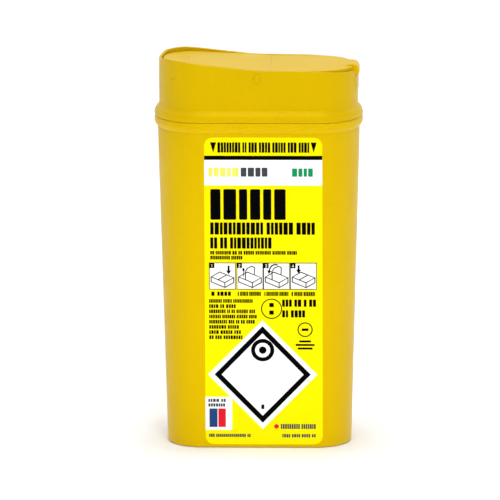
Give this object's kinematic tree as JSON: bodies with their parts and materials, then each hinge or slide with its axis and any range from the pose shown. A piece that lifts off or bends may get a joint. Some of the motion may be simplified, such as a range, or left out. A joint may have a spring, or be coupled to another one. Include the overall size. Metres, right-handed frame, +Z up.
{
  "type": "sharps container",
  "caption": "Small yellow tapered tub with a snapped-on lid and a press-to-open flap, for used needles and other sharps.",
  "frame": {"origin": "centre of the base, on the surface the container stands on", "axes": "+Z up; +X to the right seen from the labelled front, towards the fixed end of the lid; -Y out of the front label"},
  "size_m": [0.082, 0.037, 0.1564],
  "materials": {
    "tub_plastic": "satin moulded polypropylene",
    "lid_plastic": "satin moulded polypropylene",
    "closure_plastic": "fine-grained moulded polypropylene",
    "label_film": "printed film"
  },
  "bodies": {
    "container": {"container_base": "tub_plastic", "lid": "lid_plastic", "top_plate": "closure_plastic", "front_label": "label_film", "back_label": "label_film"},
    "flap": {"closure_flap": "closure_plastic"},
    "pad": {"press_pad": "closure_plastic"}
  },
  "joints": [
    {"name": "flap_hinge", "type": "hinge", "parent": "container", "child": "flap", "pos_m": [-0.0003, 0, 0.1498], "axis": [0, 1, 0], "range_deg": [-3, 88]},
    {"name": "pad_hinge", "type": "hinge", "parent": "container", "child": "pad", "pos_m": [0.0204, 0, 0.1516], "axis": [0, -1, 0], "range_deg": [-0.5, 12.4]}
  ],
  "couplings": [
    {"joint": "pad_hinge", "follows": "flap_hinge", "ratio": 0.14}
  ]
}
